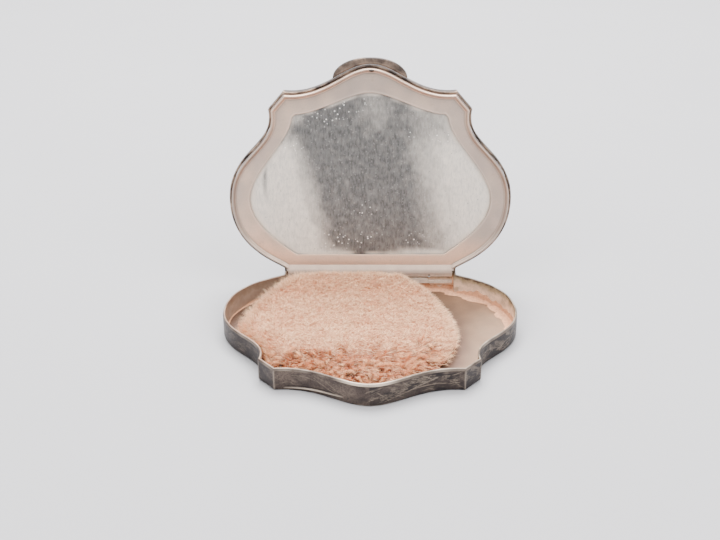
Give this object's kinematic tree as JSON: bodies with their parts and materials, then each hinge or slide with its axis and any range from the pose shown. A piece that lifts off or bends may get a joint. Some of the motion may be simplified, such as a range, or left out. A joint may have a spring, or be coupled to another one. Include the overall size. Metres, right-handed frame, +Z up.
{
  "type": "powder compact",
  "caption": "Shallow cartouche-shaped powder compact standing open, with a framed mirror in its hinged lid and a loose fluffy puff in its tray.",
  "frame": {"origin": "centre of the tray's flat underside", "axes": "+Z up; +Y to the back, where the hinge is; +X to the right seen from the front"},
  "size_m": [0.076, 0.0692, 0.0638],
  "materials": {
    "case_silver": "engraved, tarnished dark, worn bright on the edges",
    "inner_silver": "satin, dusted with pinkish powder",
    "hinge_silver": "satin",
    "pin_steel": "plain",
    "mirror": "old, dusty and speckled",
    "card": "matte",
    "puff_pile": "fluffy",
    "puff_fabric": "plain weave"
  },
  "bodies": {
    "base": {"base_wall": "case_silver", "base_floor": "inner_silver", "base_hinge_strip": "hinge_silver", "base_knuckle_left": "hinge_silver", "base_knuckle_right": "hinge_silver", "hinge_pin": "pin_steel"},
    "lid": {"lid_knuckle_left": "hinge_silver", "lid_knuckle_centre": "hinge_silver", "lid_knuckle_right": "hinge_silver", "lid_wall": "case_silver", "lid_panel": "case_silver", "thumb_lip": "case_silver", "mirror_frame": "inner_silver", "mirror_glass": "mirror", "mirror_card": "card"},
    "puff": {"puff_pile": "puff_pile", "puff_backing": "puff_fabric"}
  },
  "joints": [
    {"name": "lid_hinge", "type": "hinge", "parent": "base", "child": "lid", "pos_m": [0, 0.028, 0.0055], "axis": [1, 0, 0], "range_deg": [0, 98]},
    {"name": "puff_lift", "type": "slide", "parent": "base", "child": "puff", "axis": [0, 0, 1], "range_m": [0, 0.065]}
  ]
}
